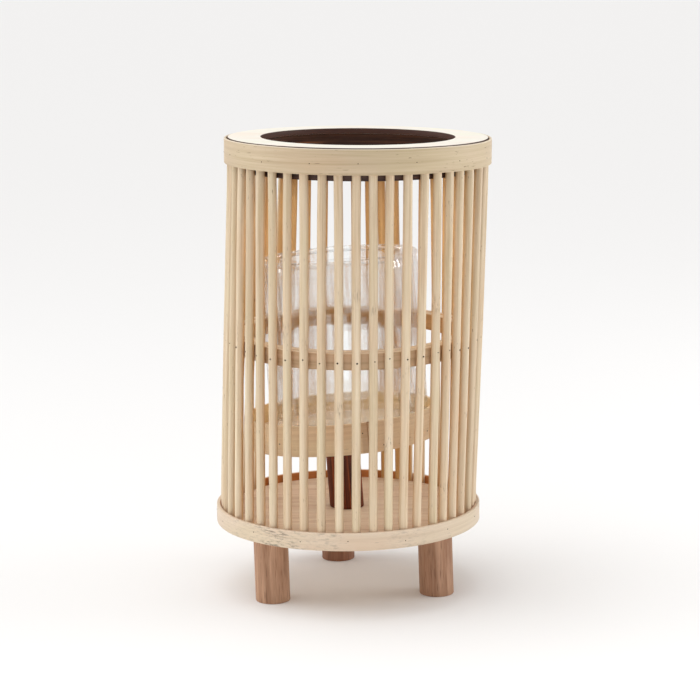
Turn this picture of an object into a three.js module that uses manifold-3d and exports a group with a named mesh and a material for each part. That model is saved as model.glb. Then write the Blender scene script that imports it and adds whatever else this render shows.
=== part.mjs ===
// A bamboo slat lantern with a glass candle jar on a raised tray inside it.
//
// Upright slats stand in a ring between nailed hoops. Below, they are held between a base disc on
// three legs and a band around it. Above, they are held between a dark inner hoop and a thin outer
// hoop, and an open ring plate covers their ends. Half way up, a hoop of two nested strips stiffens
// them from inside. The lantern was put together by eye, so the crown stands a little to the right
// of the base and dips to that side, the middle hoop rises towards the back, and the post with the
// tray and the jar leans to the left.
//
// Millimetres, +Z up, -Y is the front. The origin is on the ground under the middle of the lantern.

import * as THREE from 'three';
import { mergeVertices } from 'three/addons/utils/BufferGeometryUtils.js';
import Module from 'manifold-3d';

const wasm = await Module();
wasm.setup();

// Driving dimensions
const HEIGHT = 330; // ground to the top of the crown, at its middle
const GAP = 0.3; // room between pieces that touch
const DOWEL_RADIUS = 12.5; // the legs and the post are cut from one 25 mm dowel
const SLAT_RADIUS = 3.1;
const SLAT_COUNT = 48;
const CAGE_RADIUS = 90.3; // circle that the slats' middles stand on
const CAGE_BULGE = 0.4; // how far the slats bow out at mid-height
const LEG_LENGTH = 50.3;
const BOARD_THICKNESS = 8.8; // base disc and tray disc

// How the lantern is out of true
const BASE_X = -4.3;
const CROWN_X = 5.1;
const CROWN_DIP = 0.0118; // radians, towards +X
const MIDDLE_HOOP_RISE = 0.0287; // radians, towards +Y
const STAND_LEAN_LEFT = 0.066; // radians
const STAND_LEAN_BACK = 0.036; // radians

// The slats were nailed on by eye. Each entry is how many degrees a slat strays from even spacing,
// at its foot and at its crown, anticlockwise from the one nearest +X.
const FIRST_SLAT_DEG = 1.1;
const FOOT_STRAY_DEG = [
  1, 0.5, -0.5, -1, -2, -2, -4.5, -1.5, -2, -4.5, -4.5, -6,
  -5, -4, -3, -1.5, 0.5, 1.5, 4.5, 5.5, 8.5, 6.5, 4.5, 3,
  1.5, 0, -1.5, -1.5, -1, 0.5, 1, 1, 1, 1.5, 2, 2.5,
  2.5, 2.5, 2, 1.5, 1, 2.5, 1.5, 1, 1, 2.5, 2, 1.5,
];
const CROWN_STRAY_DEG = [
  3, 3.5, 4, 4, 4.5, 4, 4.5, 3.5, 4, 3.5, 2.5, 1,
  0, 0.5, 0, 1, 0.5, -0.5, 1, 0, 0.5, 1, 1, 0.5,
  -0.5, -2, -3, -4.5, -5, -4, -4.5, -4, -3.5, -2.5, -2, -2,
  -2, -2, -2.5, -1.5, -1, -1.5, -2, -2.5, -2, 0.5, 1.5, 2,
];

// Base
const BASE_BOTTOM = LEG_LENGTH + GAP;
const BASE_TOP = BASE_BOTTOM + BOARD_THICKNESS;
const BAND_HEIGHT = 12.7;
const BAND_THICKNESS = 2.6;
const LEG_CIRCLE_RADIUS = 69.3;
const LEG_ANGLES_DEG = { leg_front_left: -143.2, leg_front_right: -23.2, leg_rear: 96.8 };

// Crown, measured down from its top
const PLATE_THICKNESS = 4;
const PLATE_OPENING_RADIUS = 69.2;
const PLATE_SEAM = 0.6; // between the plate's edge and the outer hoop
const PLATE_PROUD = 0.6; // how far the plate stands above the outer hoop
const CROWN_HOOP_DEPTH = 18.2; // to the outer hoop's lower edge
const CROWN_HOOP_THICKNESS = 1.8;
const INNER_HOOP_THICKNESS = 2.5;
const INNER_HOOP_DEPTH = 23; // to the inner hoop's lower edge

// Middle hoop
const MIDDLE_HOOP_X = 0.4;
const MIDDLE_HOOP_TOP = 191;
const MIDDLE_HOOP_HEIGHT = 12;
const MIDDLE_STRIP_THICKNESS = 5.7; // one of its two nested strips

// Stand: post and tray, measured along the leaning post from its foot
const POST_FOOT = new THREE.Vector3(-5.2, -2.5, BASE_TOP);
const TRAY_BOTTOM = 50.8;
const TRAY_RADIUS = 69.7;
const TRAY_HOOP_THICKNESS = 2.2;
const TRAY_HOOP_HEIGHT = 22;
const POST_ROOM = 5; // spare length below the foot, trimmed off level with the disc
const SLAB = 60; // size of the block that trims it

// Glass jar, standing off the tray's middle
const JAR_X = 7;
const JAR_Y = -0.5;
const JAR_RADIUS = 58;
const JAR_HEIGHT = 126;
const JAR_WALL = 3;
const JAR_FLOOR = 6.5;
const JAR_RIM = 3.6; // thickness of the rounded lip
const JAR_NECK = 5.4; // from the top down to where the wall has its own thickness
const HEEL_RADIUS = 4;
const BOWL_RADIUS = 5; // inside corner

// Slats: their ends, and the hidden bead of glue that joins a pair of them under the crown plate
const FOOT_LIFT = 0.4; // the feet end just above the base disc's underside
const TOP_ROOM = 0.5; // below the crown plate
const GRIP_ROOM = 2; // how far below the inner hoop a slat starts to follow the crown
const GLUE_WIDTH = 4;
const GLUE_HEIGHT = 11;
const GLUE_TOP = -6; // below the crown's top

// Fasteners: two nails through the base disc into each leg, and a wood screw into each end of the post
const NAIL = { headRadius: 1.5, shankRadius: 0.9, headHeight: 0.7, length: 34 };
const SCREW = { headRadius: 3.6, shankRadius: 1.9, headHeight: 1.7, length: 28 };
const NAIL_PLACES = [[0.5, -2.5], [-8, -4.8]]; // from the leg's middle
const HEAD_SINK = 0.4; // how far a head sits below the board's face

// Fineness
const HOOP_STEPS = 72;
const JAR_STEPS = 64;
const DOWEL_STEPS = 32;
const PIN_STEPS = 12;
const SLAT_STEPS = 8;
const LIP_STEPS = 5;

// Colours
const GREY_BAMBOO = { color: '#b59a78', roughness: 0.62, metalness: 0 };
const PALE_BAMBOO = { color: '#e6d2b4', roughness: 0.5, metalness: 0 };
const DARK_BAMBOO = { color: '#3a2620', roughness: 0.55, metalness: 0 };
const PALE_WOOD = { color: '#e9dcc2', roughness: 0.6, metalness: 0 };
const BASE_WOOD = { color: '#b98f72', roughness: 0.65, metalness: 0 };
const LEG_WOOD = { color: '#a68672', roughness: 0.7, metalness: 0 };
const POST_WOOD = { color: '#4a2418', roughness: 0.5, metalness: 0 };
const CLEAR_GLASS = { color: '#e8efee', roughness: 0.05, metalness: 0, transparent: true, opacity: 0.35 };
const STEEL = { color: '#8d8a86', roughness: 0.4, metalness: 1 };

const lantern = new THREE.Group();

// Geometry helpers

function bare(geometry) {
  geometry.deleteAttribute('normal');
  geometry.deleteAttribute('uv');
  return mergeVertices(geometry, 1e-4);
}

function toSolid(geometry) {
  const closed = bare(geometry);
  return new wasm.Manifold(new wasm.Mesh({
    numProp: 3,
    vertProperties: new Float32Array(closed.attributes.position.array),
    triVerts: new Uint32Array(closed.index.array),
  }));
}

function toGeometry(solid) {
  const mesh = solid.getMesh();
  const geometry = new THREE.BufferGeometry();
  geometry.setAttribute('position', new THREE.BufferAttribute(mesh.vertProperties, 3));
  geometry.setIndex(new THREE.BufferAttribute(mesh.triVerts, 1));
  return geometry;
}

function cut(geometry, ...tools) {
  let solid = toSolid(geometry);
  for (const tool of tools) {
    solid = solid.subtract(toSolid(tool));
  }
  return toGeometry(solid);
}

function join(geometry, ...others) {
  let solid = toSolid(geometry);
  for (const other of others) {
    solid = solid.add(toSolid(other));
  }
  return toGeometry(solid);
}

// A turned piece: pairs of radius and height, around +Z.
function turned(outline, steps) {
  const points = outline.map(([radius, height]) => new THREE.Vector2(radius, height));
  const geometry = new THREE.LatheGeometry(points, steps);
  geometry.rotateX(Math.PI / 2);
  return geometry;
}

function disc(radius, bottom, top, steps = HOOP_STEPS) {
  return turned([[0, bottom], [radius, bottom], [radius, top], [0, top]], steps);
}

function hoop(innerRadius, outerRadius, bottom, top) {
  const outline = [
    [innerRadius, bottom],
    [outerRadius, bottom],
    [outerRadius, top],
    [innerRadius, top],
    [innerRadius, bottom],
  ];
  return turned(outline, HOOP_STEPS);
}

function mesh(name, geometry, look, parent = lantern) {
  const piece = new THREE.Mesh(geometry, new THREE.MeshStandardMaterial(look));
  piece.name = name;
  parent.add(piece);
  return piece;
}

function radians(degrees) {
  return degrees * Math.PI / 180;
}

function onCircle(radius, angle, height) {
  return new THREE.Vector3(radius * Math.cos(angle), radius * Math.sin(angle), height);
}

// Nails and screws: a head whose flat top is at height 0, narrowing to a shank that runs down.

function pinOutline({ headRadius, shankRadius, headHeight, length }, room) {
  return [
    [0, -length - room],
    [shankRadius + room, -length - room],
    [shankRadius + room, -headHeight - room],
    [headRadius + room, -room],
  ];
}

function pin(size) {
  return turned([...pinOutline(size, 0), [0, 0]], PIN_STEPS);
}

// The hole's mouth stands proud of the board, so that it cuts cleanly through the face.
function pinHole(size) {
  const mouth = HEAD_SINK + GAP;
  return turned([...pinOutline(size, GAP), [size.headRadius + GAP, mouth], [0, mouth]], PIN_STEPS);
}

function placed(geometry, position) {
  return geometry.translate(position.x, position.y, position.z);
}

// Base: three legs, a disc nailed down on them, and a band around the slats' feet

const base = new THREE.Group();
base.position.x = BASE_X;
lantern.add(base);

const discRadius = CAGE_RADIUS - SLAT_RADIUS - GAP;
const bandInner = CAGE_RADIUS + SLAT_RADIUS + GAP;
const nailTop = BASE_TOP - HEAD_SINK;

const baseHoles = [];
for (const [name, degrees] of Object.entries(LEG_ANGLES_DEG)) {
  const foot = onCircle(LEG_CIRCLE_RADIUS, radians(degrees), 0);
  const heads = NAIL_PLACES.map(([x, y]) => new THREE.Vector3(foot.x + x, foot.y + y, nailTop));
  const holes = heads.map((head) => placed(pinHole(NAIL), head));
  const leg = placed(disc(DOWEL_RADIUS, 0, LEG_LENGTH, DOWEL_STEPS), foot);
  mesh(name, cut(leg, ...holes), LEG_WOOD, base);
  heads.forEach((head, index) => mesh(`${name}_nail_${index + 1}`, placed(pin(NAIL), head), STEEL, base));
  baseHoles.push(...holes);
}

// The post's screw comes up from under the disc, so its head faces down.
const postScrewHead = new THREE.Vector3(POST_FOOT.x, POST_FOOT.y, BASE_BOTTOM + HEAD_SINK);

function pointingUp(geometry) {
  return geometry.rotateX(Math.PI);
}

mesh('post_screw', placed(pointingUp(pin(SCREW)), postScrewHead), STEEL);

const inBase = new THREE.Vector3(-BASE_X, 0, 0);
baseHoles.push(placed(pointingUp(pinHole(SCREW)), postScrewHead.clone().add(inBase)));
mesh('base_disc', cut(disc(discRadius, BASE_BOTTOM, BASE_TOP), ...baseHoles), BASE_WOOD, base);
mesh('bottom_band', hoop(bandInner, bandInner + BAND_THICKNESS, BASE_BOTTOM, BASE_BOTTOM + BAND_HEIGHT),
  PALE_BAMBOO, base);

// Crown: an open ring plate inside a thin outer hoop, over a dark inner hoop

const crown = new THREE.Group();
crown.position.set(CROWN_X, 0, HEIGHT);
crown.rotation.y = CROWN_DIP;
lantern.add(crown);

const crownHoopInner = bandInner;
mesh('crown_plate', hoop(PLATE_OPENING_RADIUS, crownHoopInner - PLATE_SEAM, -PLATE_THICKNESS, 0),
  PALE_WOOD, crown);
mesh('crown_outer_hoop', hoop(crownHoopInner, crownHoopInner + CROWN_HOOP_THICKNESS, -CROWN_HOOP_DEPTH,
  -PLATE_PROUD), GREY_BAMBOO, crown);
mesh('crown_inner_hoop', hoop(discRadius - INNER_HOOP_THICKNESS, discRadius, -INNER_HOOP_DEPTH,
  -PLATE_THICKNESS - GAP), DARK_BAMBOO, crown);

// Middle hoop: two strips, one inside the other

const middleHoop = new THREE.Group();
middleHoop.position.set(MIDDLE_HOOP_X, 0, MIDDLE_HOOP_TOP);
middleHoop.rotation.x = MIDDLE_HOOP_RISE;
lantern.add(middleHoop);

const stripInner = discRadius - MIDDLE_STRIP_THICKNESS;
mesh('middle_hoop', hoop(stripInner, discRadius, -MIDDLE_HOOP_HEIGHT, 0), GREY_BAMBOO, middleHoop);
mesh('middle_hoop_lining', hoop(stripInner - GAP - MIDDLE_STRIP_THICKNESS, stripInner - GAP,
  -MIDDLE_HOOP_HEIGHT, 0), GREY_BAMBOO, middleHoop);

// Stand: a post that leans because its foot is cut out of square, with the tray screwed on its top

const stand = new THREE.Group();
stand.position.copy(POST_FOOT);
stand.rotation.set(-STAND_LEAN_BACK, -STAND_LEAN_LEFT, 0);
lantern.add(stand);
stand.updateMatrixWorld(true);

const trayFloor = TRAY_BOTTOM + BOARD_THICKNESS;
const trayScrewHead = new THREE.Vector3(0, 0, trayFloor - HEAD_SINK);
const trayScrewHole = () => placed(pinHole(SCREW), trayScrewHead);

// Everything below the disc's top face, and the post screw's hole, as seen from the leaning stand
const toStand = stand.matrixWorld.clone().invert();
const slabUnderPost = new THREE.BoxGeometry(SLAB, SLAB, SLAB);
slabUnderPost.translate(POST_FOOT.x, POST_FOOT.y, BASE_TOP + GAP - SLAB / 2).applyMatrix4(toStand);
const postScrewHole = placed(pointingUp(pinHole(SCREW)), postScrewHead).applyMatrix4(toStand);
const postBlank = disc(DOWEL_RADIUS, -POST_ROOM, TRAY_BOTTOM - GAP, DOWEL_STEPS);
mesh('post', cut(postBlank, slabUnderPost, postScrewHole, trayScrewHole()), POST_WOOD, stand);
mesh('tray_screw', placed(pin(SCREW), trayScrewHead), STEEL, stand);

const trayInner = TRAY_RADIUS - TRAY_HOOP_THICKNESS;
mesh('tray_disc', cut(disc(trayInner - GAP, TRAY_BOTTOM, trayFloor), trayScrewHole()), BASE_WOOD, stand);
mesh('tray_hoop', hoop(trayInner, TRAY_RADIUS, TRAY_BOTTOM, TRAY_BOTTOM + TRAY_HOOP_HEIGHT),
  GREY_BAMBOO, stand);

// Glass jar: a thick floor with a rounded heel, straight walls and a rounded lip

function arc(centreRadius, centreHeight, radius, fromDeg, toDeg, steps) {
  return Array.from({ length: steps + 1 }, (_, step) => {
    const angle = radians(fromDeg + (toDeg - fromDeg) * step / steps);
    return [centreRadius + radius * Math.cos(angle), centreHeight + radius * Math.sin(angle)];
  });
}

const lipRadius = JAR_RIM / 2;
const lipMiddle = JAR_RADIUS - lipRadius;
const wallInner = JAR_RADIUS - JAR_WALL;
const jarOutline = [
  [0, 0],
  ...arc(JAR_RADIUS - HEEL_RADIUS, HEEL_RADIUS, HEEL_RADIUS, -90, 0, LIP_STEPS - 1),
  ...arc(lipMiddle, JAR_HEIGHT - lipRadius, lipRadius, 0, 180, LIP_STEPS),
  [wallInner, JAR_HEIGHT - JAR_NECK],
  ...arc(wallInner - BOWL_RADIUS, JAR_FLOOR + BOWL_RADIUS, BOWL_RADIUS, 0, -90, LIP_STEPS - 2),
  [0, JAR_FLOOR],
];
const jar = mesh('glass_jar', turned(jarOutline, JAR_STEPS), CLEAR_GLASS, stand);
jar.position.set(JAR_X, JAR_Y, trayFloor + GAP);

// Slats: round sticks that stand upright in the base, lean across to the crown, and follow its tilt
// there. A hidden bead of glue under the crown plate joins each slat to its neighbour.

const crownGrip = -INNER_HOOP_DEPTH - GRIP_ROOM;
const slatTop = -PLATE_THICKNESS - TOP_ROOM;
crown.updateMatrixWorld(true);

function slatPath(index) {
  const even = FIRST_SLAT_DEG + index * 360 / SLAT_COUNT;
  const footAngle = radians(even + FOOT_STRAY_DEG[index]);
  const crownAngle = radians(even + CROWN_STRAY_DEG[index]);
  const inBaseAt = (height) => onCircle(CAGE_RADIUS, footAngle, height).add(base.position);
  const inCrownAt = (depth) => onCircle(CAGE_RADIUS, crownAngle, depth).applyMatrix4(crown.matrixWorld);
  const low = inBaseAt(BASE_BOTTOM + BAND_HEIGHT);
  const high = inCrownAt(crownGrip);
  const middle = low.clone().lerp(high, 0.5);
  const outwards = onCircle(CAGE_BULGE, (footAngle + crownAngle) / 2, 0);
  return [inBaseAt(BASE_BOTTOM + FOOT_LIFT), low, middle.add(outwards), high, inCrownAt(slatTop)];
}

// A stick through the path's points, with its rings level and a corner turned outwards.
function stick(path) {
  const vertices = [];
  const faces = [];
  for (const point of path) {
    for (let side = 0; side < SLAT_STEPS; side += 1) {
      const corner = onCircle(SLAT_RADIUS, side * 2 * Math.PI / SLAT_STEPS, 0).add(point);
      vertices.push(corner.x, corner.y, corner.z);
    }
  }
  for (let ring = 0; ring + 1 < path.length; ring += 1) {
    for (let side = 0; side < SLAT_STEPS; side += 1) {
      const a = ring * SLAT_STEPS + side;
      const b = ring * SLAT_STEPS + (side + 1) % SLAT_STEPS;
      faces.push(a, b, b + SLAT_STEPS, a, b + SLAT_STEPS, a + SLAT_STEPS);
    }
  }
  const last = (path.length - 1) * SLAT_STEPS;
  for (let side = 1; side + 1 < SLAT_STEPS; side += 1) {
    faces.push(0, side + 1, side, last, last + side, last + side + 1);
  }
  const geometry = new THREE.BufferGeometry();
  geometry.setAttribute('position', new THREE.Float32BufferAttribute(vertices, 3));
  geometry.setIndex(faces);
  return geometry;
}

function glueBead(indexA, indexB) {
  const topA = slatPath(indexA).at(-1);
  const topB = slatPath(indexB).at(-1);
  const across = topB.clone().sub(topA);
  const bead = new THREE.BoxGeometry(across.length(), GLUE_WIDTH, GLUE_HEIGHT);
  bead.rotateZ(Math.atan2(across.y, across.x));
  const middle = topA.clone().lerp(topB, 0.5);
  return bead.translate(middle.x, middle.y, middle.z + GLUE_TOP - GLUE_HEIGHT / 2 - slatTop);
}

for (let index = 0; index < SLAT_COUNT; index += 2) {
  const number = String(index / 2 + 1).padStart(2, '0');
  const pair = join(stick(slatPath(index)), glueBead(index, index + 1), stick(slatPath(index + 1)));
  mesh(`slat_pair_${number}`, pair, GREY_BAMBOO);
}

export default lantern;
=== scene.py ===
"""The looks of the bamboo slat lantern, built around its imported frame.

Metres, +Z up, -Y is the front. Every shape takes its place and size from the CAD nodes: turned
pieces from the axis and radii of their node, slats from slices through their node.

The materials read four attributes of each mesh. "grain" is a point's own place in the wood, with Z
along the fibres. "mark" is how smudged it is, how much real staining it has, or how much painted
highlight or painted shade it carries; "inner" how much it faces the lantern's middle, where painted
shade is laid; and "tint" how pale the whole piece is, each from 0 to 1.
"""

import math
import random

import bpy
import numpy as np
from mathutils import Matrix, Vector, noise


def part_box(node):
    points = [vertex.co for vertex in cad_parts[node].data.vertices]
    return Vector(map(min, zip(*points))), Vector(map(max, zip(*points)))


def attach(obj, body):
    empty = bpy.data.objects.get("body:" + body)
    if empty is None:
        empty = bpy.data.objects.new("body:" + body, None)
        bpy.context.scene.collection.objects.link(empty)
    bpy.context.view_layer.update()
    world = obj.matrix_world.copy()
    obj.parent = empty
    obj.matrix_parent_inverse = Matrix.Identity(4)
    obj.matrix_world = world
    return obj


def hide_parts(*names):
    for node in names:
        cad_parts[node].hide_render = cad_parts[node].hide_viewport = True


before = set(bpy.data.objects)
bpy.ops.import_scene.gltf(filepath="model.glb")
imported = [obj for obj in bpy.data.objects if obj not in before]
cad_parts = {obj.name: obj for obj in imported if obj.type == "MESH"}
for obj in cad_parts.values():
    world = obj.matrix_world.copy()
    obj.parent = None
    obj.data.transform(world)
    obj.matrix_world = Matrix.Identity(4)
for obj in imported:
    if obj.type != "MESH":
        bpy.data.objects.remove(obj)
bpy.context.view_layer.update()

MM = 0.001
LANTERN = "lantern"
JAR = "jar"
MIX_UNDER, MIX_OVER, MIX_RESULT = 6, 7, 2  # the colour sockets of a Mix node
JOINT_GAP = 0.3 * MM  # between two pieces that rest on each other


# ---------------------------------------------------------------- camera, light and floor


def add_camera():
    """A long lens a step away, looking slightly down, almost level."""
    focal_mm, sensor_mm = 114.84, 36.0
    place = Vector((0.00112, -1.59435, 0.46905))
    pitch, yaw, roll = 0.1824, -0.0019, -0.0093
    ahead = Vector((math.sin(yaw), math.cos(yaw), 0.0))
    forward = ahead * math.cos(pitch) - Vector((0.0, 0.0, math.sin(pitch)))
    level = Vector((math.cos(yaw), -math.sin(yaw), 0.0))
    above = level.cross(forward)
    right = math.cos(roll) * level + math.sin(roll) * above
    up = math.cos(roll) * above - math.sin(roll) * level
    data = bpy.data.cameras.new("camera")
    data.lens = focal_mm
    data.sensor_width = sensor_mm
    data.clip_end = 200
    camera = bpy.data.objects.new("camera", data)
    camera.matrix_world = Matrix((right, up, -forward)).transposed().to_4x4()
    camera.matrix_world.translation = place
    bpy.context.scene.collection.objects.link(camera)
    bpy.context.scene.camera = camera


def add_area_light(name, place, target, size, power):
    """A white lamp that lights things without being seen, itself or through the glass."""
    data = bpy.data.lights.new(name, "AREA")
    data.shape = "RECTANGLE"
    data.size, data.size_y = size
    data.energy = power
    light = bpy.data.objects.new(name, data)
    light.location = place
    light.rotation_euler = (Vector(target) - Vector(place)).to_track_quat("-Z", "Y").to_euler()
    light.visible_camera = False
    light.visible_transmission = False
    bpy.context.scene.collection.objects.link(light)


def add_world(strength, lobes):
    """Studio light from all round: each lobe is a direction and how bright it is by the cosine to it."""
    world = bpy.data.worlds.new("studio")
    world.use_nodes = True
    tree = world.node_tree
    background = tree.nodes["Background"]
    background.inputs["Strength"].default_value = strength
    outwards = tree.nodes.new("ShaderNodeTexCoord")
    both = tree.nodes.new("ShaderNodeMix")
    both.data_type = "RGBA"
    both.blend_type = "ADD"
    both.inputs["Factor"].default_value = 1.0
    for socket, (direction, stops) in zip((MIX_UNDER, MIX_OVER), lobes):
        cosine = tree.nodes.new("ShaderNodeVectorMath")
        cosine.operation = "DOT_PRODUCT"
        cosine.inputs[1].default_value = Vector(direction).normalized()
        tree.links.new(outwards.outputs["Generated"], cosine.inputs[0])
        share = tree.nodes.new("ShaderNodeMapRange")
        share.inputs["From Min"].default_value = -1.0
        tree.links.new(cosine.outputs["Value"], share.inputs["Value"])
        ramp = tree.nodes.new("ShaderNodeValToRGB")
        ramp.color_ramp.interpolation = "EASE"
        points = ramp.color_ramp.elements
        while len(points) < len(stops):
            points.new(0.5)
        for point, (place, level) in zip(points, stops):
            point.position = (place + 1) / 2
            point.color = (level, level * 0.995, level * 0.99, 1)
        tree.links.new(share.outputs["Result"], ramp.inputs["Fac"])
        tree.links.new(ramp.outputs["Color"], both.inputs[socket])
    tree.links.new(both.outputs[MIX_RESULT], background.inputs["Color"])
    bpy.context.scene.world = world


def add_floor():
    """A wide pale floor, faintly bright of itself, as a lit studio sweep is."""
    half = 40.0
    corners = [(-half, -half, 0), (half, -half, 0), (half, half, 0), (-half, half, 0)]
    mesh = bpy.data.meshes.new("floor")
    mesh.from_pydata(corners, [], [(0, 1, 2, 3)])
    floor = bpy.data.objects.new("floor", mesh)
    bpy.context.scene.collection.objects.link(floor)
    material = bpy.data.materials.new("floor")
    material.use_nodes = True
    shader = material.node_tree.nodes["Principled BSDF"]
    shader.inputs["Base Color"].default_value = (0.825, 0.82, 0.817, 1)
    shader.inputs["Roughness"].default_value = 0.9
    shader.inputs["Specular IOR Level"].default_value = 0.1
    shader.inputs["Emission Color"].default_value = (1.0, 0.99, 0.985, 1)
    shader.inputs["Emission Strength"].default_value = 0.04
    mesh.materials.append(material)


# ---------------------------------------------------------------- materials


class Shading:
    """A material's node tree, built one node at a time."""

    def __init__(self, name):
        self.material = bpy.data.materials.new(name)
        self.material.use_nodes = True
        self.tree = self.material.node_tree
        self.shader = self.tree.nodes["Principled BSDF"]

    def node(self, kind, inputs=None, **settings):
        made = self.tree.nodes.new(kind)
        for key, value in settings.items():
            setattr(made, key, value)
        for key, value in (inputs or {}).items():
            self.feed(made.inputs[key], value)
        return made

    def feed(self, socket, value):
        if isinstance(value, bpy.types.NodeSocket):
            self.tree.links.new(value, socket)
        else:
            socket.default_value = value

    def attribute(self, name, output):
        return self.node("ShaderNodeAttribute", attribute_name=name).outputs[output]

    def noise(self, stretch, detail=4.0, rough=0.6, distortion=0.0):
        """Noise over the grain coordinates, stretched per axis: features per metre across and along."""
        scaled = self.node("ShaderNodeVectorMath", {0: self.attribute("grain", "Vector"), 1: stretch},
                           operation="MULTIPLY")
        inputs = {"Vector": scaled.outputs[0], "Scale": 1.0, "Detail": detail, "Roughness": rough,
                  "Distortion": distortion}
        return self.node("ShaderNodeTexNoise", inputs).outputs["Fac"]

    def ramp(self, value, stops):
        made = self.node("ShaderNodeValToRGB", {"Fac": value})
        points = made.color_ramp.elements
        while len(points) < len(stops):
            points.new(0.5)
        for point, (place, colour) in zip(points, stops):
            point.position = place
            point.color = colour if len(colour) == 4 else (*colour, 1)
        return made.outputs["Color"]

    def steps(self, value, low, high):
        """0 below low, 1 above high."""
        made = self.node("ShaderNodeMapRange", {"Value": value, "From Min": low, "From Max": high})
        return made.outputs["Result"]

    def times(self, a, b):
        return self.node("ShaderNodeMath", {0: a, 1: b}, operation="MULTIPLY").outputs[0]

    def blend(self, amount, under, over, mode="MIX"):
        made = self.node("ShaderNodeMix", data_type="RGBA", blend_type=mode)
        self.feed(made.inputs["Factor"], amount)
        self.feed(made.inputs[MIX_UNDER], under)
        self.feed(made.inputs[MIX_OVER], over)
        return made.outputs[MIX_RESULT]

    def finish(self, colour, roughness, height, bump, distance):
        self.feed(self.shader.inputs["Base Color"], colour)
        self.feed(self.shader.inputs["Roughness"], roughness)
        made = self.node("ShaderNodeBump", {"Height": height, "Strength": bump, "Distance": distance})
        self.feed(self.shader.inputs["Normal"], made.outputs["Normal"])
        return self.material


def tone(red, green, blue):
    """A colour as the eye names it, 0 to 255 each, as the linear light a shader takes."""

    def linear(value):
        share = value / 255
        return share / 12.92 if share <= 0.04045 else ((share + 0.055) / 1.055) ** 2.4

    return (linear(red), linear(green), linear(blue), 1)


def bamboo(name, pale, mid, deep, fleck, fleck_share=0.68, rough=(0.42, 0.6),
           inside=(0.97, 0.73, 0.45, 1), stain_and_light=None, fibre_share=0.55):
    """Split bamboo: long fine fibres, slow drifts of hue, short dark flecks.

    Faces turned to the lantern's middle are painted browner, as painted shade of the lantern's inside.
    The mark attribute smudges the surface with the fleck colour, or covers it with the material's mark
    colour where there is one: real staining on some pieces, painted highlight or painted shade on others.
    """
    look = Shading(name)
    broad = look.noise((420, 420, 9), detail=5, rough=0.62)
    fine = look.noise((2600, 2600, 30), detail=3, rough=0.55)
    drift = look.noise((30, 30, 14), detail=2)
    colour = look.ramp(broad, [(0.30, deep), (0.47, mid), (0.66, pale)])
    fibre = look.ramp(fine, [(0.35, (0.80, 0.77, 0.72)), (0.62, (1, 1, 1))])
    colour = look.blend(fibre_share, colour, fibre, "MULTIPLY")
    warm = look.ramp(drift, [(0.36, (1.0, 0.93, 0.88)), (0.5, (1, 1, 1)), (0.66, (0.97, 1.0, 0.93))])
    colour = look.blend(0.6, colour, warm, "MULTIPLY")
    own = look.ramp(look.attribute("tint", "Fac"), [(0.0, (0.90, 0.89, 0.87)), (1.0, (1.0, 1.0, 1.0))])
    colour = look.blend(1.0, colour, own, "MULTIPLY")
    # painted shade: faces toward the lantern's middle are multiplied by the inside colour
    colour = look.blend(look.attribute("inner", "Fac"), colour, look.blend(1.0, colour, inside, "MULTIPLY"))
    specks = look.steps(look.noise((1500, 1500, 190), detail=2, rough=0.5), fleck_share, fleck_share + 0.05)
    sparse = look.steps(look.noise((95, 95, 45), detail=1), 0.5, 0.62)
    colour = look.blend(look.times(look.times(specks, sparse), 0.75), colour, fleck)
    # the mark colour is real staining on some materials and painted highlight or painted shade on others
    if stain_and_light:
        colour = look.blend(look.attribute("mark", "Fac"), colour, stain_and_light)
    else:
        smudge = look.steps(look.noise((700, 700, 170), detail=6, rough=0.75), 0.5, 0.62)
        marked = look.times(smudge, look.attribute("mark", "Fac"))
        colour = look.blend(look.times(marked, 0.85), colour, fleck)
    roughness = look.node("ShaderNodeMapRange", {"Value": broad, "To Min": rough[0], "To Max": rough[1]})
    look.shader.inputs["Specular IOR Level"].default_value = 0.35
    return look.finish(colour, roughness.outputs["Result"], fine, 0.35, 0.12 * MM)


def timber(name, pale, mid, deep, pore, stretch=(152, 152, 12.8), contrast=0.7):
    """Plain sawn hardwood: wide wavy figure, short open pores along the grain."""
    look = Shading(name)
    figure = look.noise(stretch, detail=6, rough=0.6, distortion=0.6)
    fibres = look.noise((1900, 1900, 42), detail=4, rough=0.6)
    pores = look.steps(look.noise((1300, 1300, 75), detail=2, rough=0.4), 0.60, 0.69)
    drift = look.noise((22, 22, 9), detail=2)
    colour = look.ramp(figure, [(0.30, deep), (0.48, mid), (0.66, pale)])
    strands = look.ramp(fibres, [(0.36, (0.78, 0.74, 0.70)), (0.6, (1, 1, 1))])
    colour = look.blend(contrast, colour, strands, "MULTIPLY")
    warm = look.ramp(drift, [(0.35, (1.0, 0.92, 0.87)), (0.65, (0.98, 1.0, 0.96))])
    colour = look.blend(contrast, colour, warm, "MULTIPLY")
    # a low tint darkens and reddens the wood; the rear leg's low tint is painted shade
    own = look.ramp(look.attribute("tint", "Fac"), [(0.0, (0.58, 0.44, 0.40)), (1.0, (1.0, 1.0, 1.0))])
    colour = look.blend(1.0, colour, own, "MULTIPLY")
    colour = look.blend(look.times(pores, contrast * 0.8), colour, pore)
    roughness = look.node("ShaderNodeMapRange", {"Value": fibres, "To Min": 0.5, "To Max": 0.72})
    look.shader.inputs["Specular IOR Level"].default_value = 0.3
    return look.finish(colour, roughness.outputs["Result"], fibres, 0.5, 0.15 * MM)


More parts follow.
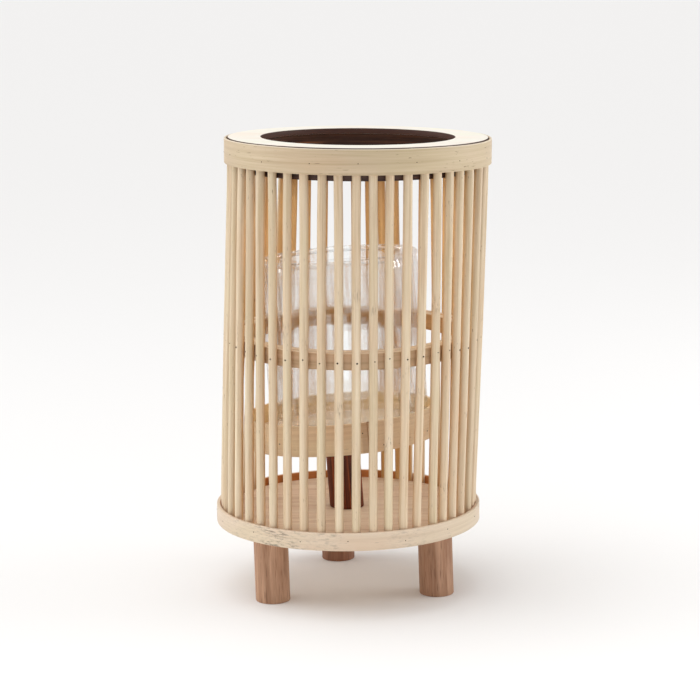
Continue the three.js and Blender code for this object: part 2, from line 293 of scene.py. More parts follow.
def clear_glass(name):
    """Pressed soda glass, a little wavy, with a smoky film in places."""
    look = Shading(name)
    ripple = look.noise((70, 70, 22), detail=3, rough=0.5)
    film = look.noise((160, 160, 50), detail=4)
    look.shader.inputs["Transmission Weight"].default_value = 1.0
    look.shader.inputs["IOR"].default_value = 1.44
    look.shader.inputs["Alpha"].default_value = 0.33
    colour = look.ramp(film, [(0.3, (0.955, 0.99, 0.965)), (0.7, (0.985, 1, 0.985))])
    roughness = look.node("ShaderNodeMapRange", {"Value": film, "To Min": 0.0, "To Max": 0.05})
    return look.finish(colour, roughness.outputs["Result"], ripple, 0.25, 0.8 * MM)


def metal(name, pale, deep, rough=(0.35, 0.55), shine=0.9, specular=0.5):
    """Worn metal with fine spots; shine is how metallic it still is."""
    look = Shading(name)
    wear = look.noise((1200, 1200, 1200), detail=4)
    look.shader.inputs["Metallic"].default_value = shine
    look.shader.inputs["Specular IOR Level"].default_value = specular
    colour = look.ramp(wear, [(0.3, deep), (0.65, pale)])
    roughness = look.node("ShaderNodeMapRange", {"Value": wear, "To Min": rough[0], "To Max": rough[1]})
    return look.finish(colour, roughness.outputs["Result"], wear, 0.2, 0.05 * MM)


def make_materials():
    fleck = tone(98, 64, 40)
    return {
        "slat": bamboo("slat_bamboo", tone(235, 217, 190), tone(226, 205, 176), tone(208, 183, 150), fleck),
        # the crown hoop's pale mark colour is a painted highlight along its upper edge
        "crown_hoop": bamboo("crown_hoop_bamboo", tone(217, 197, 168), tone(209, 188, 158),
                             tone(198, 175, 143), fleck, fleck_share=0.66, stain_and_light=tone(238, 224, 202),
                             fibre_share=0.4),
        "band": bamboo("band_bamboo", tone(226, 207, 185), tone(221, 201, 178), tone(211, 190, 165),
                       tone(74, 62, 54), fibre_share=0.25, inside=(0.95, 0.46, 0.2, 1)),
        # the tray hoop's mark colour: fresh wood beside the lap end, and painted shadow along the end itself
        "hoop": bamboo("hoop_bamboo", tone(239, 216, 181), tone(233, 209, 173), tone(223, 197, 159), fleck,
                       stain_and_light=tone(134, 79, 38), fibre_share=0.25, inside=(0.92, 0.83, 0.64, 1)),
        # the waist's pale mark colour is a painted highlight along its upper edge
        "waist": bamboo("waist_bamboo", tone(220, 190, 156), tone(210, 179, 144), tone(193, 161, 127), fleck,
                        stain_and_light=tone(240, 222, 192), fibre_share=0.35, inside=(0.9, 0.7, 0.46, 1)),
        # the dark lining's paler mark colour is a painted highlight streak
        "dark": bamboo("stained_bamboo", tone(96, 66, 55), tone(66, 43, 36), tone(40, 24, 20),
                       tone(20, 12, 10), inside=(1, 1, 1, 1), stain_and_light=tone(150, 98, 66)),
        # the plate's dark mark colour: real staining on the inner edge, painted shade of the seam on the
        # outer edge
        "plate": bamboo("plate_wood", tone(255, 251, 242), tone(252, 247, 236), tone(245, 237, 222),
                        tone(190, 160, 120), fleck_share=0.72, rough=(0.5, 0.65), stain_and_light=tone(78, 50, 42),
                        fibre_share=0.2),
        "board": timber("board_wood", tone(240, 222, 197), tone(233, 211, 185), tone(216, 190, 162),
                        tone(178, 142, 112), contrast=0.4),
        "leg": timber("leg_wood", tone(200, 163, 136), tone(178, 139, 112), tone(152, 113, 88),
                      tone(96, 64, 46)),
        # painted shade: the post is painted much darker than the legs, as it stands in shade under the tray
        "post": timber("post_wood", tone(150, 76, 36), tone(98, 44, 20), tone(54, 21, 10),
                       tone(32, 13, 8), stretch=(480, 480, 8.0), contrast=0.85),
        "glass": clear_glass("jar_glass"),
        "nail": metal("nail_steel", tone(56, 38, 29), tone(28, 19, 14), rough=(0.7, 0.9), shine=0.1,
                      specular=0.1),
        "screw": metal("screw_zinc", tone(190, 186, 178), tone(140, 134, 126)),
    }


# ---------------------------------------------------------------- meshes


SHARP_EDGE = math.radians(38)  # edges that turn by more than this aren't smoothed


def point_values(mesh, name, values):
    """A number for each point of a mesh, from one number for all of them or a list."""
    spread = np.full(len(mesh.vertices), values, np.float32)
    mesh.attributes.new(name, "FLOAT", "POINT").data.foreach_set("value", spread)


def new_piece(name, vertices, faces, material, body, replaces, grain, mark=0.0, tint=0.5, inner=0.0):
    """One visible piece, riding its body in place of the CAD nodes that it replaces."""
    mesh = bpy.data.meshes.new(name)
    mesh.from_pydata([tuple(v) for v in vertices], [], faces)
    mesh.validate()
    mesh.shade_smooth()
    mesh.set_sharp_from_angle(angle=SHARP_EDGE)
    grains = mesh.attributes.new("grain", "FLOAT_VECTOR", "POINT")
    grains.data.foreach_set("vector", np.asarray(grain, np.float32).ravel())
    point_values(mesh, "mark", mark)
    point_values(mesh, "inner", inner)
    point_values(mesh, "tint", tint)
    mesh.materials.append(material)
    piece = bpy.data.objects.new(name, mesh)
    bpy.context.scene.collection.objects.link(piece)
    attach(piece, body)
    if replaces:
        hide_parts(*replaces)


def sweep_faces(rings, sides, closed=False):
    """Faces of a tube whose vertices are listed ring by ring; its ends are closed, or meet."""
    faces = []
    for ring in range(rings if closed else rings - 1):
        here = ring * sides
        there = (ring + 1) % rings * sides
        for side in range(sides):
            beside = (side + 1) % sides
            faces.append((here + side, here + beside, there + beside, there + side))
    if not closed:
        faces.append(tuple(reversed(range(sides))))
        faces.append(tuple(range((rings - 1) * sides, rings * sides)))
    return faces


def rounded_section(width, height, bevel, rows=()):
    """A rectangle from (0, 0) to (width, height) with round corners, anticlockwise.

    Rows are shares of the height at which its sides get extra points.
    """
    steps = 3
    bevel = min(bevel, width * 0.49, height * 0.49)
    corners = [(bevel, bevel, 180), (width - bevel, bevel, 270), (width - bevel, height - bevel, 0),
               (bevel, height - bevel, 90)]
    outer_side = [(width, height * row) for row in rows]
    inner_side = [(0.0, height * row) for row in reversed(rows)]
    sides = {1: outer_side, 3: inner_side}  # each follows the corner with that number
    points = []
    for index, (x, y, start) in enumerate(corners):
        for step in range(steps + 1):
            angle = math.radians(start + 90 * step / steps)
            points.append((x + bevel * math.cos(angle), y + bevel * math.sin(angle)))
        points += sides.get(index, [])
    return points


# ---------------------------------------------------------------- what the CAD nodes say


def cad_points(node):
    points = np.array([v.co[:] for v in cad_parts[node].data.vertices])
    return np.unique(np.round(points, 6), axis=0)


class Turned:
    """A turned CAD node: its axis, the middle of its low end, and its radii."""

    def __init__(self, node):
        points = cad_points(node)
        middle = points.mean(axis=0)
        spread, directions = np.linalg.eigh(np.cov((points - middle).T))
        odd = 0 if spread[1] - spread[0] > spread[2] - spread[1] else 2
        axis = directions[:, odd] * np.sign(directions[2, odd])
        heights = (points - middle) @ axis
        radii = np.linalg.norm((points - middle) - np.outer(heights, axis), axis=1)
        self.height = float(heights.max() - heights.min())
        self.outer = float(radii.max())
        self.inner = float(radii.min())
        across = np.cross((0, 1, 0), axis)
        across /= np.linalg.norm(across)
        low = middle + axis * heights.min()
        self.matrix = Matrix((across, np.cross(axis, across), axis)).transposed().to_4x4()
        self.matrix.translation = Vector(low)

    def at(self, radius, angle, height):
        return self.matrix @ Vector((radius * math.cos(angle), radius * math.sin(angle), height))


def slice_middles(node, height):
    """The middles of the two sticks of a slat pair where a level plane cuts them, anticlockwise."""
    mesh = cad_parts[node].data
    points = np.array([v.co[:] for v in mesh.vertices])
    edges = np.array([e.vertices[:] for e in mesh.edges])
    a, b = points[edges[:, 0]], points[edges[:, 1]]
    crossing = (a[:, 2] - height) * (b[:, 2] - height) < 0
    a, b = a[crossing], b[crossing]
    share = ((height - a[:, 2]) / (b[:, 2] - a[:, 2]))[:, None]
    cuts = np.unique(np.round(a + (b - a) * share, 6), axis=0)[:, :2]
    middle = cuts.mean(axis=0)
    outwards = middle / np.linalg.norm(middle)
    along = (cuts - middle) @ np.array((-outwards[1], outwards[0]))
    return [cuts[along < 0].mean(axis=0), cuts[along > 0].mean(axis=0)]


# ---------------------------------------------------------------- slats


SLAT_SIDES = 20
SLAT_STEP = 5 * MM
SLAT_SLICES = 10
WAIST_SLICE = 4  # the one nearest the waist hoop
SLAT_RADIUS = 3.1 * MM
GLUE_ZONE = 20 * MM  # the top of a pair, where the glue bead hides the sticks' outline
TAPER = 13 * MM  # length over which a foot narrows


def slat_lines(node):
    """The middle lines of a pair's two slats: heights, and one list of (x, y) for each slat."""
    low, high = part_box(node)
    heights = np.linspace(low.z + MM, high.z - GLUE_ZONE, SLAT_SLICES)
    cuts = np.array([slice_middles(node, height) for height in heights])
    reach = high.z - heights[-1]
    climb = (cuts[-1] - cuts[-2]) / (heights[-1] - heights[-2])
    heights = np.append(heights, high.z)
    cuts = np.concatenate([cuts, (cuts[-1] + climb * reach * 0.4)[None]])
    return heights, (cuts[:, 0], cuts[:, 1])


def slat(name, node, heights, line, seed, materials):
    """A slightly oval stick along its middle line, narrower at its foot, with one knot."""
    draw = random.Random(seed)
    bottom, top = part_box(node)[0].z, heights[-1]
    rings = int((top - bottom) / SLAT_STEP)
    levels = [bottom + (top - bottom) * ring / rings for ring in range(rings + 1)]
    levels[1:1] = [bottom + 0.8 * MM, bottom + 2.4 * MM]
    knot = draw.uniform(bottom + 25 * MM, top - 25 * MM)
    shift = Vector((draw.uniform(-9, 9), draw.uniform(-9, 9), draw.uniform(-9, 9)))
    flat = draw.uniform(0, math.pi)
    vertices, grain, mark, inner = [], [], [], []
    inwards = math.atan2(-line[0][1], -line[0][0])
    for level in levels:
        x = float(np.interp(level, heights, line[:, 0]))
        y = float(np.interp(level, heights, line[:, 1]))
        above = level - bottom
        foot = 1 - 0.17 * (1 - min(above / TAPER, 1)) ** 2 - 0.12 * max(0, 1 - above / (1.5 * MM)) ** 2
        swell = 1 + 0.012 * noise.noise(Vector((seed * 3.1, 0, level * 40)))
        at_knot = math.exp(-((level - knot) / (2.2 * MM)) ** 2)
        for side in range(SLAT_SIDES):
            angle = 2 * math.pi * side / SLAT_SIDES
            oval = 1 + 0.022 * math.cos(2 * (angle - flat)) + 0.008 * math.cos(5 * angle + seed)
            radius = SLAT_RADIUS * foot * swell * (oval + 0.015 * at_knot)
            dx, dy = radius * math.cos(angle), radius * math.sin(angle)
            vertices.append((x + dx, y + dy, level))
            grain.append((dx + shift.x, dy + shift.y, level + shift.z))
            facing = max(0.0, math.cos(angle - flat * 2))
            # painted shade: the side of each stick that faces the lantern's middle
            inner.append(min(1.0, max(0.0, 0.1 + 1.4 * math.cos(angle - inwards))))
            mark.append(math.exp(-((level - knot) / (4.5 * MM)) ** 2) * facing * draw.choice((0.75, 1.0)))
    faces = sweep_faces(len(levels), SLAT_SIDES)
    new_piece(name, vertices, faces, materials["slat"], LANTERN, [node], grain, mark,
              draw.uniform(0.1, 0.9), inner)


def add_slats(materials):
    """48 slats, two for each pair node; returns each one's middle line for the nails."""
    lines = []
    for node in sorted(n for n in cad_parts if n.startswith("slat_pair_")):
        heights, pair = slat_lines(node)
        for line in pair:
            lines.append((heights, line))
            slat(f"slat_{len(lines):02d}", node, heights, line, len(lines), materials)
    return lines


# ---------------------------------------------------------------- hoops


LAP_GAP = 0.05 * MM  # between a strip's two layers where they overlap
TRAY_LAP_END = 287  # where the tray hoop's outer end stops, in degrees


def near(value, middle, width):
    """1 at the middle, fading to 0 a couple of widths away."""
    return math.exp(-((value - middle) / width) ** 2)


def scuffed(degrees, share, outer_share):
    """Grey scuffs on the band's left front, mostly at its edges, and a few fainter ones further round."""
    further = 0.5 * near(degrees, 262, 6) + 0.35 * near(degrees, 297, 12) + 0.3 * near(degrees, 215, 10)
    return min(1.0, near(degrees, 240, 12) + further) * (0.45 + 1.1 * abs(share - 0.5))


def painted_rim_highlight(degrees, share, outer_share):
    """Painted highlight: a strip's upper outer edge is painted paler, as if lit from above."""
    return 0.85 if share > 0.97 and outer_share > 0.75 else 0.0


def fresh_end_and_shadow_line(degrees, share, outer_share):
    """Fresh wood beside the tray hoop's cut end, and the end itself as a dark line: painted shadow of its
    step.
    """
    past_end = degrees - TRAY_LAP_END
    # painted shadow along the end's step, then fresh wood beside it
    if 0.0 < past_end < 1.4:
        return 1.0
    return 0.3 if -3.8 < past_end < -0.1 else 0.0


def painted_lining_highlight(degrees, share, outer_share):
    """A paler streak painted along the crown's lining at the back: a painted highlight."""
    return (near(degrees, 116, 9) + 0.4 * near(degrees, 80, 14)) * near(share, 0.62, 0.03)


def wound_hoop(name, node, material, lap_at, lap, step, bevel, drift, marks, rows=(), tint=0.5, seed=0,
               wave=0.12, way=1):
    """A strip bent into a hoop. Its two ends taper over each other, so the outer end shows as a step.

    lap_at is where the outer end stops and lap how far the ends overlap, both in degrees. step is the
    outer end's thickness, drift how far it slips down past the layer beneath it, and wave how unevenly
    it lies, in millimetres. marks gives the mark by the degrees round the hoop, the share of its height
    and the share of its thickness. rows are shares of the height where the section gets extra points.
    way is 1 for a strip wound anticlockwise and -1 for clockwise.
    """
    cad = Turned(node)
    thick = cad.outer - cad.inner
    tip = step * MM * 0.5
    taper = thick - step * MM * 1.5 - LAP_GAP
    turn = 360 + lap
    rings = int(turn / 1.25)
    vertices, grain, mark, inner = [], [], [], []
    for ring in range(rings + 1):
        wound = turn * ring / rings
        angle = math.radians(lap_at + way * (wound - turn))
        over = max(0.0, (wound - 360) / lap)
        low_edge = tip + taper * over + LAP_GAP if over else 0.0
        high_edge = tip + taper * (wound / lap) if wound < lap else thick
        uneven = noise.noise(Vector((seed, wound * 0.03, 1.7)))
        slip = (wave * uneven - drift * over ** 2) * MM
        arc = math.radians(wound) * cad.inner
        for across, up in rounded_section(high_edge - low_edge, cad.height, bevel * MM, rows)[::way]:
            depth = low_edge + across
            vertices.append(cad.at(cad.inner + depth, angle, up + slip))
            grain.append((depth + seed, up + seed * 0.37, arc + seed))
            mark.append(marks(math.degrees(angle) % 360, up / cad.height, depth / thick))
            # painted shade: the strip's inner face, turned to the lantern's middle
            inner.append(1.0 if depth < thick * 0.3 and up < cad.height * 0.99 else 0.0)
    faces = sweep_faces(rings + 1, len(vertices) // (rings + 1))
    new_piece(name, vertices, faces, material, LANTERN, [node], grain, mark, tint, inner)


def add_hoops(materials):
    wound_hoop("crown_hoop", "crown_outer_hoop", materials["crown_hoop"], lap_at=100, lap=48,
               step=0.4, bevel=0.3, drift=0.5, marks=painted_rim_highlight, rows=(0.9, 0.965), tint=0.4, seed=1, wave=0.3)
    wound_hoop("crown_lining", "crown_inner_hoop", materials["dark"], lap_at=60, lap=40,
               step=0.6, bevel=0.5, drift=0.5, marks=painted_lining_highlight,
               rows=(0.54, 0.58, 0.6, 0.62, 0.64, 0.66, 0.7), seed=2)
    wound_hoop("foot_band", "bottom_band", materials["band"], lap_at=25, lap=50,
               step=0.8, bevel=0.45, drift=0.4, marks=scuffed, rows=(0.3, 0.7), tint=0.6, seed=3)
    wound_hoop("waist_hoop", "middle_hoop", materials["waist"], lap_at=210, lap=30,
               step=1.2, bevel=0.6, drift=0.3, marks=painted_rim_highlight, rows=(0.8, 0.92), seed=4)
    wound_hoop("waist_lining", "middle_hoop_lining", materials["waist"], lap_at=100, lap=30,
               step=1.2, bevel=0.6, drift=0.3, marks=painted_rim_highlight, rows=(0.8, 0.92), tint=0.35, seed=5)
    wound_hoop("tray_rim", "tray_hoop", materials["hoop"], lap_at=TRAY_LAP_END, lap=24,
               step=0.8, bevel=0.4, drift=0.5, marks=fresh_end_and_shadow_line, tint=0.8, seed=6, way=-1)


# ---------------------------------------------------------------- turned pieces


def noise_round(angle, detail, depth):
    """Noise that meets itself after a full turn; detail is how fast it changes with the angle."""
    return noise.noise(Vector((math.cos(angle) * detail, math.sin(angle) * detail, depth)))


def wood_place(x, y, up, along, shift):
    """A point's place in the wood, whose fibres run along the named axis of the piece."""
    ordered = (x, y, up) if along == "z" else (y, up, x)
    return [value + shift for value in ordered]


def turned_points(matrix, profile, segments, shape, bend, along, shift):
    """A profile of (radius, height) turned about Z: its points, column by column, and their grain.

    shape changes a point's radius and height by its angle, and bend moves it by an offset.
    """
    vertices, grain = [], []
    for step in range(segments):
        angle = 2 * math.pi * step / segments
        for radius, up in profile:
            if shape:
                radius, up = shape(radius, angle, up)
            x, y = radius * math.cos(angle), radius * math.sin(angle)
            offset = bend(x, y, up) if bend else Vector()
            vertices.append(matrix @ (Vector((x, y, up)) + offset))
            grain.append(wood_place(x, y, up, along, shift))
    return vertices, grain


def turned_solid(name, matrix, outline, material, body, replaces, segments, shape=None, bend=None,
                 along="z", shift=0.0, tint=0.5):
    """A turned piece whose outline starts and ends on the axis, low end first."""
    profile = outline[1:-1]
    vertices, grain = turned_points(matrix, profile, segments, shape, bend, along, shift)
    low, high = len(vertices), len(vertices) + 1
    for _, up in (outline[0], outline[-1]):
        vertices.append(matrix @ Vector((0, 0, up)))
        grain.append(wood_place(0.0, 0.0, up, along, shift))
    count = len(profile)
    faces, caps = [], []
    for step in range(segments):
        here, there = step * count, (step + 1) % segments * count
        for point in range(count - 1):
            faces.append((here + point, there + point, there + point + 1, here + point + 1))
        caps.append((low, there, here))
        caps.append((high, here + count - 1, there + count - 1))
    new_piece(name, vertices, faces + caps, material, body, replaces, grain, tint=tint)


def upright(node):
    """The middle of a node's underside, its radius and its height, from its box."""
    low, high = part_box(node)
    foot = Matrix.Translation(((low.x + high.x) / 2, (low.y + high.y) / 2, low.z))
    return foot, (high.x - low.x) / 2, high.z - low.z


# ---------------------------------------------------------------- boards


def board_outline(radius, height, bevel):
    """Half of a round board's section, with extra points on its faces for its grain."""
    under = [(0.0, 0.0), (radius * 0.35, 0.0), (radius * 0.7, 0.0), (radius - bevel, 0.0),
             (radius - bevel * 0.3, bevel * 0.3), (radius, bevel)]
    return under + [(across, height - up) for across, up in reversed(under)]


def sawn_edge(seed):
    """A saw's slow waver round a board."""

    def moved(radius, angle, up):
        return radius * (1 + 0.0012 * noise_round(angle, 2, seed + 0.5)), up

    return moved


def add_round_board(name, matrix, radius, height, bevel, material, node, seed):
    """A board sawn to a circle, its grain lying across it."""
    turned_solid(name, matrix, board_outline(radius, height, bevel), material, LANTERN, [node],
                 segments=120, shape=sawn_edge(seed), along="x", shift=seed, tint=1.0)


def add_crown_ring(materials):
    """The flat ring on the crown, its edges painted dark: real staining on the inner edge, painted shade of
    the seam on the outer edge.
    """
    plate = Turned("crown_plate")
    seed = 4

    def waver(radius, angle, up):
        return radius * (1 + 0.001 * noise_round(angle, 1.4, up * 25 + seed)), up

    section = rounded_section(plate.outer - plate.inner, plate.height, 0.5 * MM)
    outline = [(plate.inner + across, up) for across, up in section]
    segments = 160
    vertices, grain = turned_points(plate.matrix, outline, segments, waver, None, "x", seed * 1.3)
    inverse = plate.matrix.inverted()
    edge_stain_and_seam_shade = []
    for vertex in vertices:
        radius = (inverse @ vertex).xy.length
        # dark on the inner edge for its staining, and on the outer edge as painted shade of the seam against
        # the hoop
        edge_stain_and_seam_shade.append(1.0 if min(radius - plate.inner, plate.outer - radius) < 0.35 * MM else 0.0)
    faces = sweep_faces(segments, len(outline), closed=True)
    new_piece("crown_ring", vertices, faces, materials["plate"], LANTERN, ["crown_plate"], grain,
              edge_stain_and_seam_shade, 1.0)


def add_boards(materials):
    base, radius, height = upright("base_disc")
    add_round_board("base_board", base, radius, height, 0.8 * MM, materials["board"], "base_disc", 3)
    add_crown_ring(materials)
    tray = Turned("tray_disc")
    add_round_board("tray_board", tray.matrix, tray.outer, tray.height, 0.6 * MM, materials["board"],
                    "tray_disc", 6)


# ---------------------------------------------------------------- legs and post


DOWEL_RADIUS = 12.5 * MM
LEGS = {  # how pale each leg is, and how far its foot and its head stand to the right, in millimetres
    "leg_front_left": (1.0, 0.8, -0.4),
    "leg_front_right": (0.8, 0.2, -1.2),
    # painted shade: the rear leg's low paleness darkens it, as it stands in the lantern's shade
    "leg_rear": (0.15, 0, 0),
}


def dowel_outline(radius, height, low_bevel, high_bevel):
    """Half of a round stick's section, with softened ends and rows of points up its side."""
    straight = height - low_bevel - high_bevel
    outline = [(0.0, 0.0), (radius * 0.55, 0.0), (radius - low_bevel, 0.0),
               (radius - low_bevel * 0.3, low_bevel * 0.3)]
    outline += [(radius, low_bevel + straight * row / 10) for row in range(11)]
    outline += [(radius - high_bevel * 0.3, height - high_bevel * 0.3), (radius - high_bevel, height)]
    return outline + [(radius * 0.55, height), (0.0, height)]


def out_of_round(seed):
    """A stick's slow waver and its fine lengthwise scratches."""

    def moved(radius, angle, up):
        waver = noise_round(angle, 1.2, up * 14 + seed)
        scratch = noise_round(angle, 9, up * 6 + seed)
        return radius * (0.994 + 0.006 * waver + 0.003 * scratch), up

    return moved


def leaning(foot_shift, head_shift, height):
    """Moves a stick sideways, by so many millimetres at its foot and at its head."""

    def moved(x, y, up):
        return Vector(((foot_shift + (head_shift - foot_shift) * up / height) * MM, 0, 0))

    return moved


def add_legs(materials):
    for seed, (node, (tint, foot_shift, head_shift)) in enumerate(LEGS.items(), start=1):
        foot, radius, height = upright(node)
        outline = dowel_outline(radius, height, 0.7 * MM, 0.3 * MM)
        turned_solid(node + "_dowel", foot, outline, materials["leg"], LANTERN, [node],
                     segments=64, shape=out_of_round(seed), bend=leaning(foot_shift, head_shift, height),
                     shift=seed, tint=tint)


def add_post(materials):
    """The post leans with the tray, but its foot is sawn level."""
    tray = Turned("tray_disc")
    axis = tray.matrix.to_3x3() @ Vector((0, 0, 1))
    height = (tray.matrix.translation.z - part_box("post")[0].z) / axis.z - JOINT_GAP
    matrix = tray.matrix.copy()
    matrix.translation -= axis * (height + JOINT_GAP)
    turn = matrix.to_3x3()

    def level_foot(x, y, up):
        rise = (turn @ Vector((x, y, 0))).z
        return Vector((0, 0, -rise / axis.z * (1 - up / height)))

    seed = 5
    outline = dowel_outline(DOWEL_RADIUS, height, 0.3 * MM, 0.3 * MM)
    turned_solid("post_dowel", matrix, outline, materials["post"], LANTERN, ["post"],
                 segments=64, shape=out_of_round(seed), bend=level_foot, shift=seed, tint=1.0)


# ---------------------------------------------------------------- jar


JAR_WALL = 3.0 * MM
JAR_RIM = 16 * MM  # the beaded part at the top, which keeps its shape
JAR_FOOT = 9 * MM  # and the one at the foot


def jar_waves(height, radius):
    """Slow waves and mould ridges in pressed glass, mostly on the inside of the wall."""

    def moved(ring, angle, up):
        above, below = up - JAR_FOOT, height - JAR_RIM - up
        if above < 0 or below < 0:
            return ring, up
        fade = min(1, above / (12 * MM), below / (12 * MM))
        wave = noise_round(angle, 3.5, up * 9)
        ribs = noise_round(angle, 11, up * 4 + 7)
        share = 1.0 if ring < radius - JAR_WALL / 2 else 0.25
        return ring + fade * share * (0.35 * wave + 0.22 * ribs) * MM, up

    return moved


def bead(centre, up, size, start, stop, steps):
    """Part of a round bead's section, about (centre, up), from start to stop in degrees."""
    points = []
    for step in range(steps + 1):
        angle = math.radians(start + (stop - start) * step / steps)
        points.append((centre + size * math.cos(angle), up + size * math.sin(angle)))
    return points


def jar_outline(radius, height):
    """From the middle of the underside, round the beads, up the wall, over the lip and down inside."""
    rows = 26
    out = radius - 0.5 * MM  # the wall stands back behind the beads
    inner = radius - JAR_WALL - 0.5 * MM
    outline = [(0.0, 1.2 * MM), (20 * MM, 1.2 * MM), (40 * MM, 1.0 * MM), (48 * MM, 0.3 * MM),
               (50.5 * MM, 0.0)]
    outline += bead(out - 3.4 * MM, 3.4 * MM, 3.4 * MM, -80, 0, 6)
    outline += bead(out - 0.35 * MM, 7.2 * MM, 0.8 * MM, -55, 55, 4)
    outline += [(out, JAR_FOOT + (height - 27 * MM) * row / rows) for row in range(rows + 1)]
    outline += bead(out - 0.45 * MM, height - 14.2 * MM, 0.9 * MM, -60, 60, 5)
    outline += [(out, height - 12.6 * MM)]
    outline += bead(out - 0.45 * MM, height - 10.6 * MM, 0.9 * MM, -60, 60, 5)
    outline += [(out, height - 8.8 * MM), (out - 0.1 * MM, height - 6.6 * MM)]
    outline += bead(radius - 2.3 * MM, height - 2.3 * MM, 2.3 * MM, -65, 90, 9)
    outline += bead(radius - JAR_WALL - 0.1 * MM, height - 2.0 * MM, 2.0 * MM, 95, 175, 4)
    outline += [(inner, height - 5 * MM - (height - 19 * MM) * row / rows) for row in range(rows + 1)]
    outline += bead(inner - 5.5 * MM, 12.2 * MM, 5.5 * MM, -8, -84, 6)
    return outline + [(38 * MM, 6.4 * MM), (18 * MM, 6.2 * MM), (0.0, 6.2 * MM)]


def add_jar(materials):
    cad = Turned("glass_jar")
    turned_solid("jar_glass", cad.matrix, jar_outline(cad.outer, cad.height), materials["glass"],
                 JAR, ["glass_jar"], segments=128, shape=jar_waves(cad.height, cad.outer))


# ---------------------------------------------------------------- nails, screws and brads


SCREW_LENGTH = 27.8 * MM
SCREW_SINK = 0.4 * MM  # how deep the tray screw's head lies below the tray's face
BRAD_SIDES = 8
TRAY_BRADS = (  # degrees round the tray hoop, and share of its height
    (283.4, 0.66), (288.4, 0.66), (296, 0.2), (328, 0.7), (333, 0.28), (232, 0.4), (110, 0.4),
)


def pin_outline(head, shank, neck, length, dome):
    """From the tip up to the top of the head, around the pin's own axis; 0 is the board's face."""
    return [(0, -length), (shank * 0.55, -length + shank * 0.6), (shank, -length + shank * 1.6),
            (shank, -neck), (head * 0.93, -0.12 * MM), (head, 0.0), (head * 0.85, dome * 0.55),
            (head * 0.45, dome * 0.9), (0, dome)]


def add_leg_nails(materials):
    for node in sorted(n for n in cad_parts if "_nail_" in n):
        foot, _, height = upright(node)
        top = foot @ Matrix.Translation((0, 0, height))
        outline = pin_outline(1.5 * MM, 0.9 * MM, 0.7 * MM, height - 0.1 * MM, 0.15 * MM)
        turned_solid(node + "_steel", top, outline, materials["nail"], LANTERN, [node],
                     segments=20)


def screw_outline():
    """From the tip up the shank, over the head's edge and across its face, which lies at 0."""
    shank = [(1.9 * MM, -SCREW_LENGTH + 2.5 * MM + (SCREW_LENGTH - 6 * MM) * row / 60) for row in range(61)]
    return [(0, -SCREW_LENGTH), (0.9 * MM, -SCREW_LENGTH + 1.2 * MM), *shank, (1.9 * MM, -1.7 * MM),
            (3.5 * MM, -0.1 * MM), (3.55 * MM, 0.0), (2.4 * MM, 0.0), (2.0 * MM, 0.0), (1.2 * MM, 0.0),
            (0.5 * MM, 0.0), (0, -1.0 * MM)]


def screw_shape(radius, angle, up):
    """Cuts the thread round a screw's shank, and presses a cross-shaped recess into its head."""
    if -SCREW_LENGTH + 2 * MM < up < -4 * MM:
        turn = (up / (1.6 * MM) - angle / (2 * math.pi)) % 1
        return radius - 0.35 * MM * abs(turn - 0.5) * 2, up
    if up < -0.1 * MM or radius > 2.3 * MM:
        return radius, up
    arm = max(0.0, 1 - abs(math.sin(2 * angle)) * 2.2) if radius > 0.4 * MM else 1.0
    return radius, up - 1.0 * MM * arm


def add_screws(materials):
    """One up through the base board into the post, and one down through the tray into it."""
    under_base = upright("post_screw")[0] @ Matrix.Rotation(math.pi, 4, "X")
    tray = Turned("tray_disc")
    in_tray = tray.matrix @ Matrix.Translation((0, 0, tray.height - SCREW_SINK))
    for name, node, matrix in (("post_foot_screw", "post_screw", under_base),
                               ("tray_floor_screw", "tray_screw", in_tray)):
        turned_solid(name, matrix, screw_outline(), materials["screw"], LANTERN, [node],
                     segments=48, shape=screw_shape)


class Brads:
    """Small nail heads, gathered in one mesh."""

    def __init__(self):
        self.vertices = []
        self.faces = []

    def add(self, place, outwards, radius):
        side = outwards.cross(Vector((0, 0, 1))).normalized()
        up = side.cross(outwards)
        start = len(self.vertices)
        rings = [(0.5, -0.4), (1.0, -0.05), (0.92, 0.10), (0.5, 0.18)]  # share of the radius, and lift
        for share, lift in rings:
            for step in range(BRAD_SIDES):
                angle = 2 * math.pi * step / BRAD_SIDES
                spread = side * math.cos(angle) + up * math.sin(angle)
                self.vertices.append(place + spread * radius * share + outwards * lift * MM)
        for face in sweep_faces(len(rings), BRAD_SIDES):
            self.faces.append(tuple(start + corner for corner in face))


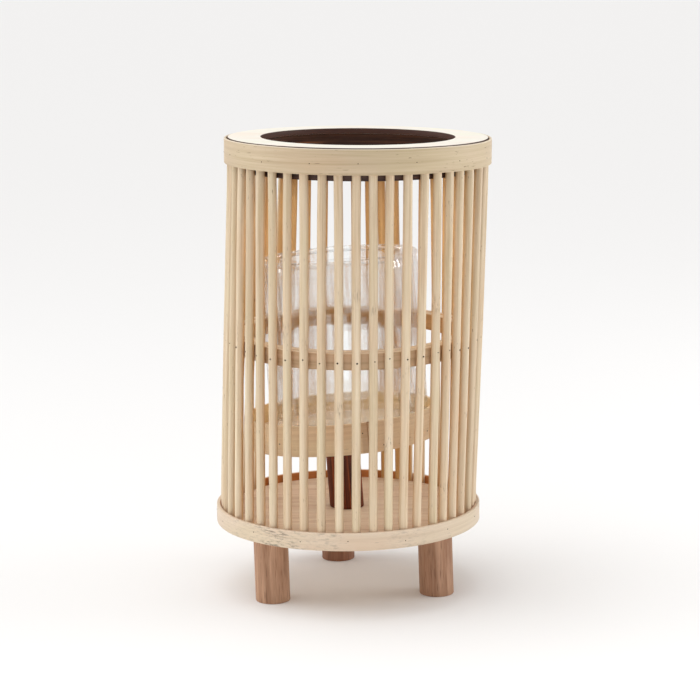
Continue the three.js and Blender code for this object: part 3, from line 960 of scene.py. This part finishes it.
def add_brads(materials, lines):
    """A brad in each slat at the waist, at every third one also in crown and foot, and a few in the tray."""
    waist = Turned("middle_hoop")
    crown = Turned("crown_outer_hoop")
    tray = Turned("tray_hoop")
    band_foot, band_radius, band_height = upright("bottom_band")
    draw = random.Random(48)
    brads = Brads()
    for index, (heights, line) in enumerate(lines):
        waist_x, waist_y = line[WAIST_SLICE]
        slat_angle = math.atan2(waist_y, waist_x)
        level = waist.at(waist.outer, slat_angle, waist.height * 0.5).z + draw.uniform(-0.6, 3.2) * MM
        middle = Vector((np.interp(level, heights, line[:, 0]), np.interp(level, heights, line[:, 1]), level))
        outwards = Vector((math.cos(slat_angle + draw.uniform(-0.3, 0.3)),
                           math.sin(slat_angle + draw.uniform(-0.3, 0.3)), 0)).normalized()
        brads.add(middle + outwards * SLAT_RADIUS * 0.97, outwards, draw.uniform(0.6, 0.78) * MM)
        if index % 3 == 0:
            angle = slat_angle + draw.uniform(-0.03, 0.03)
            outwards = Vector((math.cos(angle), math.sin(angle), 0))
            place = crown.at(crown.outer, angle, crown.height * draw.uniform(0.3, 0.5))
            brads.add(place, outwards, 0.38 * MM)
            rise = Vector((0, 0, band_height * draw.uniform(0.35, 0.6)))
            brads.add(band_foot.translation + rise + outwards * band_radius, outwards, 0.4 * MM)
    for degrees, share in TRAY_BRADS:
        angle = math.radians(degrees)
        outwards = tray.at(1, angle, 0) - tray.at(0, angle, 0)
        brads.add(tray.at(tray.outer, angle, tray.height * share), outwards.normalized(), 0.5 * MM)
    new_piece("brads", brads.vertices, brads.faces, materials["nail"], LANTERN, [],
              brads.vertices)


# ---------------------------------------------------------------- the whole


def build():
    add_camera()
    from_above = ((-0.3, -0.05, 0.95), [(0, 0), (0.45, 0.05), (0.75, 0.35), (1, 1)])
    from_behind = ((-0.15, 0.95, 0), [(-1, 0.03), (-0.3, 0.17), (0, 0.27), (1, 0.25)])
    add_world(1.81, [from_above, from_behind])
    add_area_light("overhead", (-0.7, -0.1, 2.1), (0, 0, 0.1), (1.6, 1.6), 0.3)
    add_area_light("left_panel", (-1.5, 0.1, 0.42), (0, 0, 0.2), (0.9, 0.5), 4.5)
    add_area_light("right_panel", (1.5, 0.1, 0.42), (0, 0, 0.2), (0.9, 0.5), 8.4)
    add_area_light("front_bounce", (0.0, -0.42, 0.02), (0, 0, 0.16), (0.8, 0.3), 0.9)
    add_area_light("over_the_jar", (0, 0, 0.29), (0, 0, 0), (0.1, 0.1), 0.06)
    add_area_light("in_the_jar", (0, 0, 0.19), (0, 0, 0), (0.09, 0.09), 0.036)
    add_area_light("under_the_tray", (0, 0, 0.104), (0, 0, 0), (0.11, 0.11), 0.02)
    add_floor()
    bpy.context.scene.view_settings.view_transform = "Standard"
    materials = make_materials()
    lines = add_slats(materials)
    add_hoops(materials)
    add_boards(materials)
    add_legs(materials)
    add_post(materials)
    add_jar(materials)
    add_leg_nails(materials)
    add_screws(materials)
    add_brads(materials, lines)


build()
